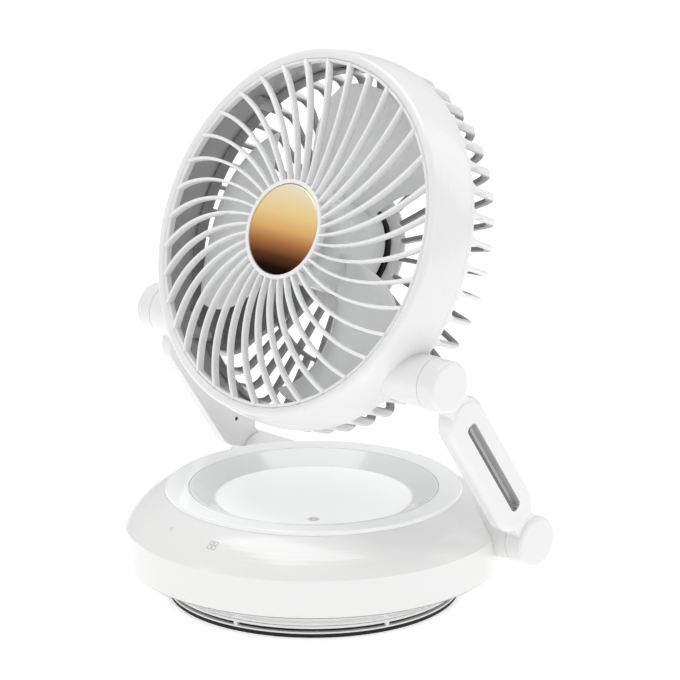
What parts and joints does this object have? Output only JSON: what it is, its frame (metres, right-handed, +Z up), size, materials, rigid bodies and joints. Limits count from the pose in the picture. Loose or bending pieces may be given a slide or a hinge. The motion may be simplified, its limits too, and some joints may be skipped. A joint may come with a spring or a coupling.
{
  "type": "portable camping fan",
  "caption": "Folding cordless fan: a ring-shaped head with curved grilles tilts on two hinged arms above a round base with a lit tray.",
  "frame": {"origin": "centre of the foot, on the surface that the fan stands on", "axes": "+Z up, the fan blows towards -Y, +X is the right-hand side seen from the front"},
  "size_m": [0.211, 0.19, 0.2719],
  "materials": {
    "white_shell": "glossy white moulded shell",
    "white_grille": "satin white moulded grille",
    "impeller_plastic": "milky white fan blades",
    "tray_plastic": "milky lamp diffuser",
    "clear_plastic": "clear rim ring",
    "rubber": "black rubber",
    "dark_plastic": "black moulding",
    "mark_grey": "pale grey touch window",
    "aluminium": "bare board",
    "led_amber": "lamp chips",
    "cell_wrap": "wrapped cells",
    "board_green": "circuit board",
    "steel": "bright steel",
    "gold": "polished gold disc"
  },
  "bodies": {
    "base": {"foot_ring": "rubber", "lower_shell": "white_shell", "vent_liner": "dark_plastic", "upper_shell": "white_shell", "rim_ring": "clear_plastic", "tray": "tray_plastic", "tray_sensor": "mark_grey", "lamp_reflector": "tray_plastic", "lamp_board": "aluminium", "lamp_leds": "led_amber", "battery_holder": "dark_plastic", "battery_cells": "cell_wrap", "control_board": "board_green", "control_parts": "dark_plastic", "usb_socket": "steel", "board_screws": "steel", "touch_board": "board_green", "touch_pads": "rubber", "lamp_key": "mark_grey", "fan_key": "mark_grey", "base_barrel_right": "white_shell", "base_barrel_left": "white_shell", "lower_washer_right": "dark_plastic", "lower_washer_left": "dark_plastic", "base_screws": "steel"},
    "arms": {"arm_cover_right": "white_shell", "arm_cover_left": "white_shell", "arm_inner_right": "white_shell", "arm_inner_left": "white_shell", "lower_pin_right": "steel", "lower_pin_left": "steel", "lower_nuts": "steel", "lower_springs": "steel", "arm_pegs": "steel", "upper_pin_right": "steel", "upper_pin_left": "steel", "upper_nuts": "steel", "upper_springs": "steel"},
    "head": {"head_ring": "white_shell", "front_grille": "white_grille", "hub_badge": "gold", "rear_grille": "white_grille", "motor": "steel", "motor_damper": "rubber", "motor_screws": "steel", "head_screws": "steel", "upper_washer_right": "dark_plastic", "upper_washer_left": "dark_plastic", "pocket_caps": "white_grille"},
    "fan_wheel": {"impeller": "impeller_plastic", "motor_shaft": "steel", "shaft_clip": "steel"}
  },
  "joints": [
    {"name": "arm_fold", "type": "hinge", "parent": "base", "child": "arms", "pos_m": [0, 0.0511, 0.0373], "axis": [1, 0, 0], "range_deg": [-14, 33]},
    {"name": "head_tilt", "type": "hinge", "parent": "arms", "child": "head", "pos_m": [0, -0.01194, 0.12903], "axis": [1, 0, 0], "range_deg": [-102, 43.5]},
    {"name": "fan_spin", "type": "hinge", "parent": "head", "child": "fan_wheel", "pos_m": [0, -0.0156, 0.18733], "axis": [0, -0.9288, 0.3706], "continuous": true}
  ],
  "couplings": [
    {"joint": "head_tilt", "follows": "arm_fold", "ratio": -3.072}
  ]
}
